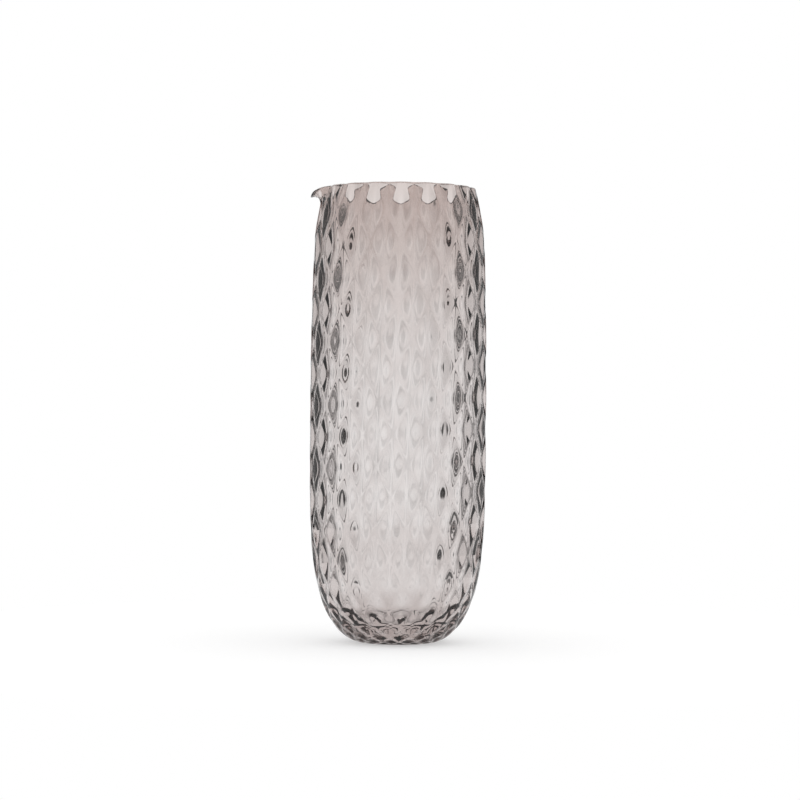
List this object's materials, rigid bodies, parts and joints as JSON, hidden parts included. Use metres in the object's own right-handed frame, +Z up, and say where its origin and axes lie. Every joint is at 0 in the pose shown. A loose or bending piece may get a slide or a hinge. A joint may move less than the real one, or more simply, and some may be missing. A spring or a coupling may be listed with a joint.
{
  "type": "carafe",
  "caption": "Tall barrel-shaped open carafe of smoke-tinted glass with a diamond relief, a thick rounded base and a short pulled pouring lip, for serving drinks.",
  "frame": {"origin": "centre of the base's flat underside, on the vessel's axis", "axes": "+Z up along the vessel's axis; -X the way the pouring lip points; the picture looks at the -Y side"},
  "size_m": [0.0932, 0.0932, 0.24],
  "materials": {
    "smoke_glass": "clear smoke-tinted blown glass with a fire-polished surface"
  },
  "bodies": {
    "root": {"base": "smoke_glass", "body_wall": "smoke_glass", "mouth_rim": "smoke_glass", "pouring_lip": "smoke_glass"}
  },
  "joints": []
}
